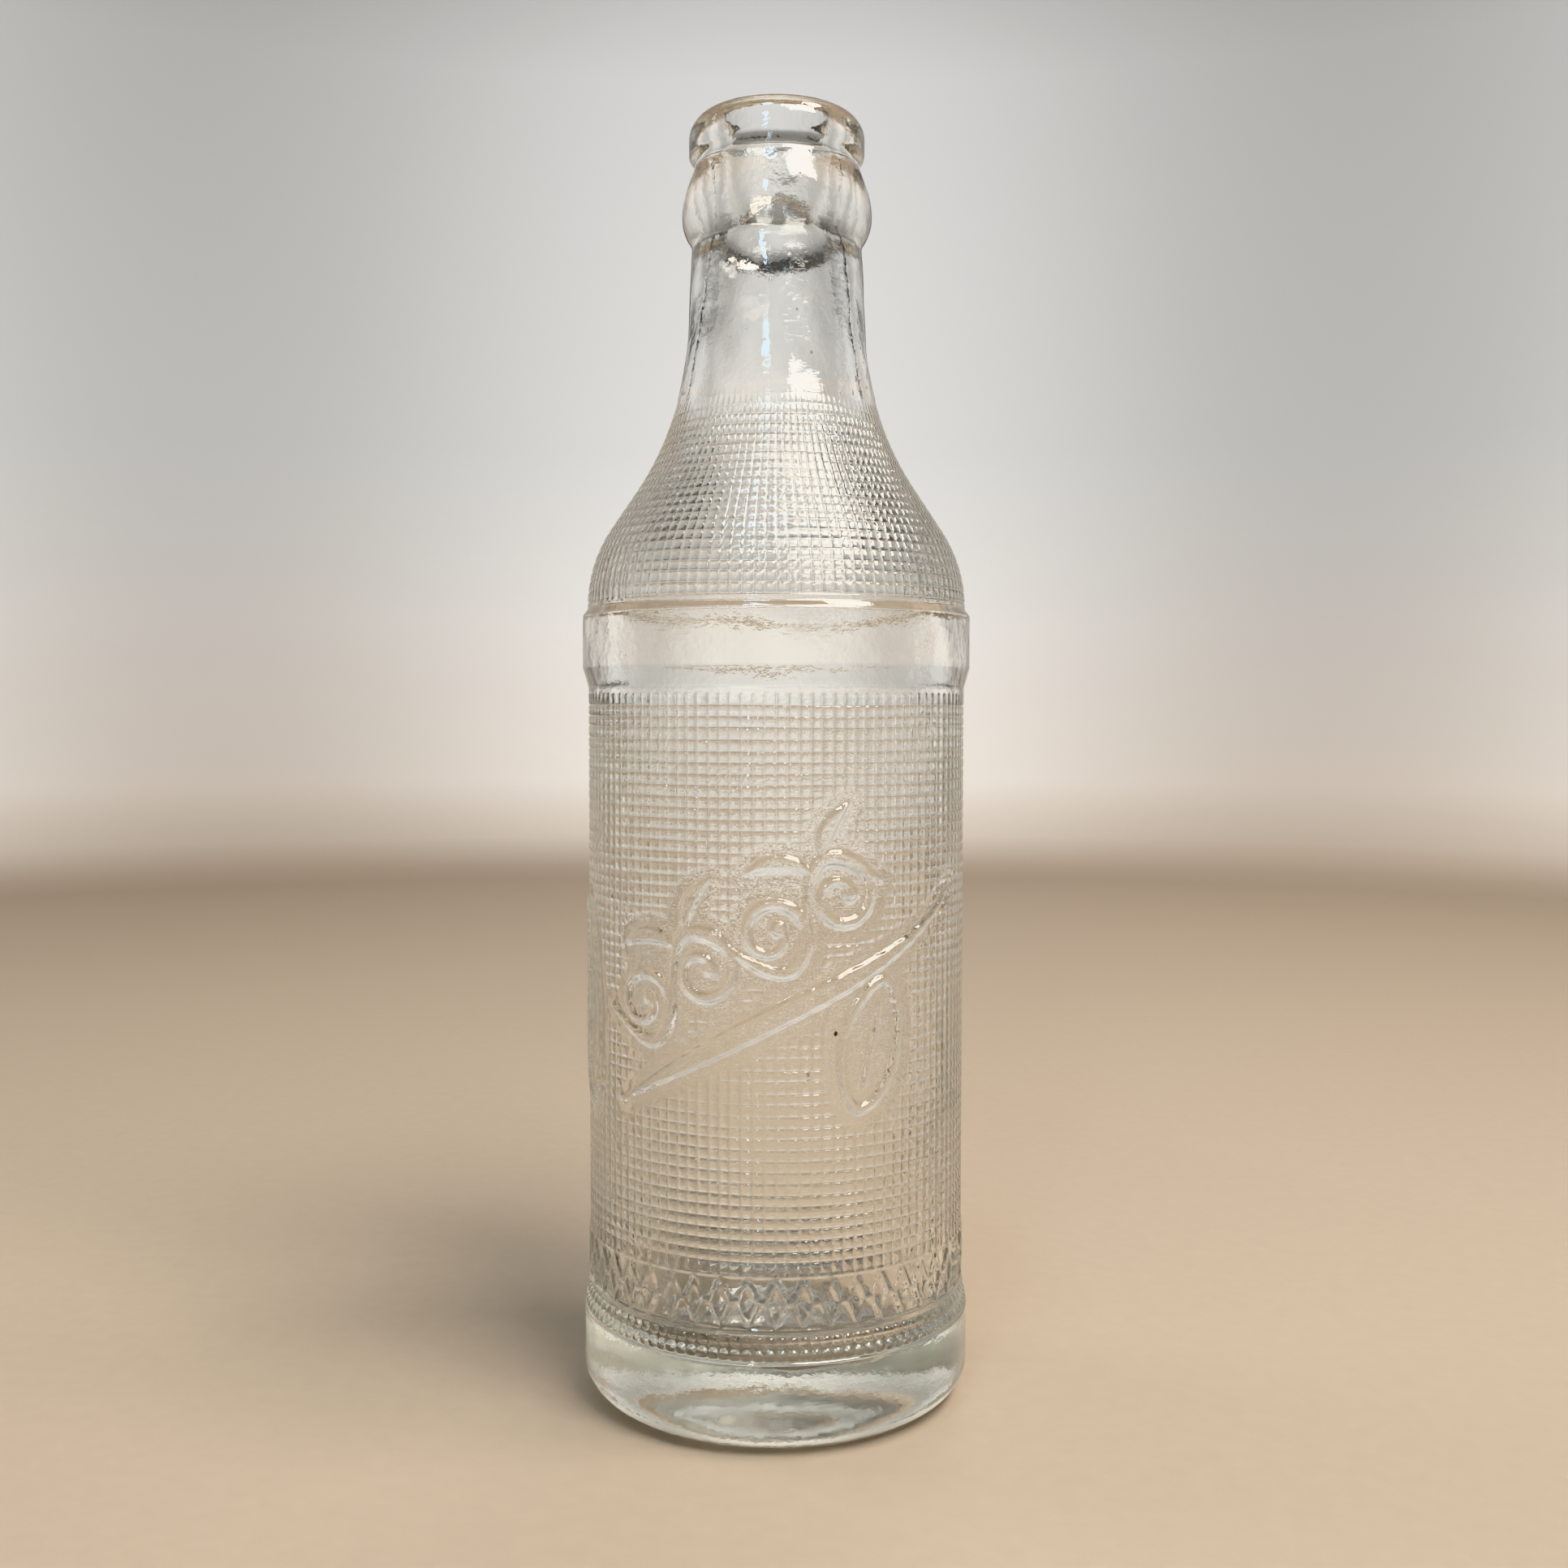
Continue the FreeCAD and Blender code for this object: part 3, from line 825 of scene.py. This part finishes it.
# ---------------------------------------------------------------------------------------------------
# The studio
# A pale floor of warm paper that turns up into a round wall, so that the glass has the same surround from
# every side. The wall glows in eight soft pools, most just over the floor, and is dark at the top, so the
# glass has both light and dark to bend.

FLOOR_REACH = 0.80
COVE_RADIUS = 0.40
WALL_HEIGHT = 1.15
SIDES = 128
COVE_STEPS = 12
POOLS = 8
POOL_SWING = 0.30
POOL_MIDDLE = 0.74
FLOOR_DROP = 0.0001

sweep = [(0.0, 0.0), (FLOOR_REACH * 0.4, 0.0), (FLOOR_REACH, 0.0)]
for index in range(1, COVE_STEPS + 1):
    turn = math.pi / 2 * index / COVE_STEPS
    sweep.append((FLOOR_REACH + COVE_RADIUS * math.sin(turn), COVE_RADIUS * (1 - math.cos(turn))))
sweep.append((FLOOR_REACH + COVE_RADIUS, WALL_HEIGHT))
stage_vertices = [(0.0, 0.0, -FLOOR_DROP)]
for reach, rise in sweep[1:]:
    for side in range(SIDES):
        turn = 2 * math.pi * side / SIDES
        stage_vertices.append((reach * math.cos(turn), reach * math.sin(turn), rise - FLOOR_DROP))
stage_faces = [(0, 1 + side, 1 + (side + 1) % SIDES) for side in range(SIDES)]
for ring in range(len(sweep) - 2):
    low = 1 + ring * SIDES
    for side in range(SIDES):
        following = (side + 1) % SIDES
        stage_faces.append((low + side, low + SIDES + side, low + SIDES + following, low + following))
stage_mesh = bpy.data.meshes.new("studio_sweep")
stage_mesh.from_pydata(stage_vertices, [], stage_faces)
stage_mesh.shade_smooth()
studio_sweep = bpy.data.objects.new("studio_sweep", stage_mesh)
bpy.context.scene.collection.objects.link(studio_sweep)

paper = bpy.data.materials.new("studio_paper")
paper.use_nodes = True
tree = paper.node_tree
shader = tree.nodes["Principled BSDF"]
place = tree.nodes.new("ShaderNodeTexCoord").outputs["Object"]
split = tree.nodes.new("ShaderNodeSeparateXYZ")
tree.links.new(place, split.inputs[0])
fibres = add_noise(tree, place, 300.0, 4.0)
grain_ramp = tree.nodes.new("ShaderNodeValToRGB")
grain_ramp.color_ramp.elements[0].color = (0.240, 0.190, 0.142, 1.0)
grain_ramp.color_ramp.elements[1].color = (0.270, 0.215, 0.162, 1.0)
tree.links.new(fibres, grain_ramp.inputs["Fac"])

# up: 0 on the floor, 1 at the top of the wall
up_wall = tree.nodes.new("ShaderNodeMapRange")
up_wall.inputs["From Max"].default_value = WALL_HEIGHT
tree.links.new(split.outputs["Z"], up_wall.inputs["Value"])
wall_glow_ramp = tree.nodes.new("ShaderNodeValToRGB")
wall_stops = wall_glow_ramp.color_ramp.elements
wall_stops[0].position = 0.0
wall_stops[0].color = (0.0, 0.0, 0.0, 1.0)
wall_stops[1].position = 1.0
wall_stops[1].color = (0.012, 0.012, 0.013, 1.0)
WALL_GLOW = [
    # share of the wall's height, light it gives
    (0.015, (0.36, 0.345, 0.325)),
    (0.045, (0.62, 0.61, 0.595)),
    (0.15, (0.61, 0.605, 0.595)),
    (0.28, (0.45, 0.45, 0.445)),
    (0.55, (0.39, 0.395, 0.40)),
    (0.76, (0.05, 0.05, 0.053)),
]
for position, colour in WALL_GLOW:
    stop = wall_stops.new(position)
    stop.color = (*colour, 1.0)
tree.links.new(up_wall.outputs["Result"], wall_glow_ramp.inputs["Fac"])

turned = add_math(tree, "ARCTAN2", split.outputs["Y"], split.outputs["X"])
pools = add_math(tree, "COSINE", add_math(tree, "MULTIPLY", turned, float(POOLS)))
pool_light = add_math(tree, "MULTIPLY_ADD", pools, POOL_SWING, POOL_MIDDLE)
glow = tree.nodes.new("ShaderNodeMix")
glow.data_type = "RGBA"
glow.blend_type = "MULTIPLY"
glow.inputs["Factor"].default_value = 1.0
tree.links.new(wall_glow_ramp.outputs["Color"], glow.inputs["A"])
tree.links.new(pool_light, glow.inputs["B"])
# the wall's emission is painted light: a glow in eight pools, brightest just over the floor and dark at
# the top, standing in for a lit wall
tree.links.new(glow.outputs["Result"], shader.inputs["Emission Color"])
shader.inputs["Emission Strength"].default_value = 1.0

# out: 0 near the bottle, 1 where the floor turns up
out_floor = tree.nodes.new("ShaderNodeMapRange")
out_floor.interpolation_type = "SMOOTHSTEP"
out_floor.inputs["From Min"].default_value = 0.10
out_floor.inputs["From Max"].default_value = 0.75
reach_out = tree.nodes.new("ShaderNodeVectorMath")
reach_out.operation = "LENGTH"
tree.links.new(place, reach_out.inputs[0])
tree.links.new(reach_out.outputs["Value"], out_floor.inputs["Value"])
fade = tree.nodes.new("ShaderNodeMix")
fade.data_type = "RGBA"
fade.inputs["B"].default_value = (0.225, 0.172, 0.125, 1.0)
tree.links.new(out_floor.outputs["Result"], fade.inputs["Factor"])
tree.links.new(grain_ramp.outputs["Color"], fade.inputs["A"])

paint = tree.nodes.new("ShaderNodeMix")
paint.data_type = "RGBA"
paint.inputs["B"].default_value = (0.22, 0.22, 0.22, 1.0)
on_wall = tree.nodes.new("ShaderNodeMapRange")
on_wall.inputs["From Min"].default_value = 0.01
on_wall.inputs["From Max"].default_value = 0.30
tree.links.new(split.outputs["Z"], on_wall.inputs["Value"])
tree.links.new(on_wall.outputs["Result"], paint.inputs["Factor"])
tree.links.new(fade.outputs["Result"], paint.inputs["A"])
tree.links.new(paint.outputs["Result"], shader.inputs["Base Color"])
shader.inputs["Roughness"].default_value = 0.6
stage_mesh.materials.append(paper)

LAMPS = [
    # name, compass turn from the front, height, reach, width, tall, power, colour, seen in the glass
    ("warm_window", 38, 0.96, 0.70, 0.58, 0.50, 27.0, (1.0, 0.95, 0.87), True),
    ("ceiling_lamp", 80, 1.12, 0.50, 0.24, 0.24, 7.5, (1.0, 0.95, 0.87), True),
    ("cool_window", -15, 0.60, 0.90, 0.07, 0.16, 1.8, (0.55, 0.80, 1.0), True),
    ("cool_skylight", -19, 1.05, 0.44, 0.17, 0.17, 3.2, (0.60, 0.84, 1.0), True),
    ("left_fill", -112, 0.66, 0.80, 0.34, 0.40, 3.0, (1.0, 0.98, 0.95), False),
    ("back_fill", 162, 0.66, 0.80, 0.34, 0.34, 3.0, (1.0, 0.97, 0.93), False),
]
for name, turn, rise, reach, width, tall, power, colour, seen in LAMPS:
    lamp = bpy.data.lights.new(name, "AREA")
    lamp.shape = "RECTANGLE"
    lamp.size = width
    lamp.size_y = tall
    lamp.energy = power
    lamp.color = colour
    holder = bpy.data.objects.new(name, lamp)
    angle = math.radians(turn)
    holder.location = (reach * math.sin(angle), -reach * math.cos(angle), rise)
    aim = Vector((0.0, 0.0, 0.10)) - holder.location
    holder.rotation_euler = aim.to_track_quat("-Z", "Y").to_euler()
    holder.visible_camera = False
    holder.visible_transmission = seen
    holder.visible_glossy = seen
    bpy.context.scene.collection.objects.link(holder)

world = bpy.data.worlds.new("studio_air")
world.use_nodes = True
world.node_tree.nodes["Background"].inputs["Color"].default_value = (0.80, 0.82, 0.85, 1.0)
world.node_tree.nodes["Background"].inputs["Strength"].default_value = 0.06
bpy.context.scene.world = world

scene = bpy.context.scene
scene.cycles.max_bounces = 12
scene.cycles.transmission_bounces = 12
scene.cycles.glossy_bounces = 6
scene.cycles.diffuse_bounces = 2
scene.cycles.transparent_max_bounces = 8
scene.cycles.use_denoising = True
scene.view_settings.view_transform = "Khronos PBR Neutral"


# ---------------------------------------------------------------------------------------------------
# The camera
# It stands about a quarter of a metre from the middle of the bottle, level with the top of the body, and
# looks slightly down, so the lip is seen from below and the heel from above.

EYE_DISTANCE = 0.262
EYE_HEIGHT = 0.1045
LENS = 39.1
DOWNWARD_TILT = 2.5
ROLL = -0.07
SIDEWAYS_TURN = -0.26
camera_data = bpy.data.cameras.new("camera")
camera_data.lens = LENS
camera_data.sensor_width = 36.0
camera_data.clip_start = 0.01
camera = bpy.data.objects.new("camera", camera_data)
camera.location = (0.0, -EYE_DISTANCE, EYE_HEIGHT)
camera.rotation_euler = (math.radians(90 - DOWNWARD_TILT), math.radians(ROLL), math.radians(SIDEWAYS_TURN))
scene.collection.objects.link(camera)
scene.camera = camera
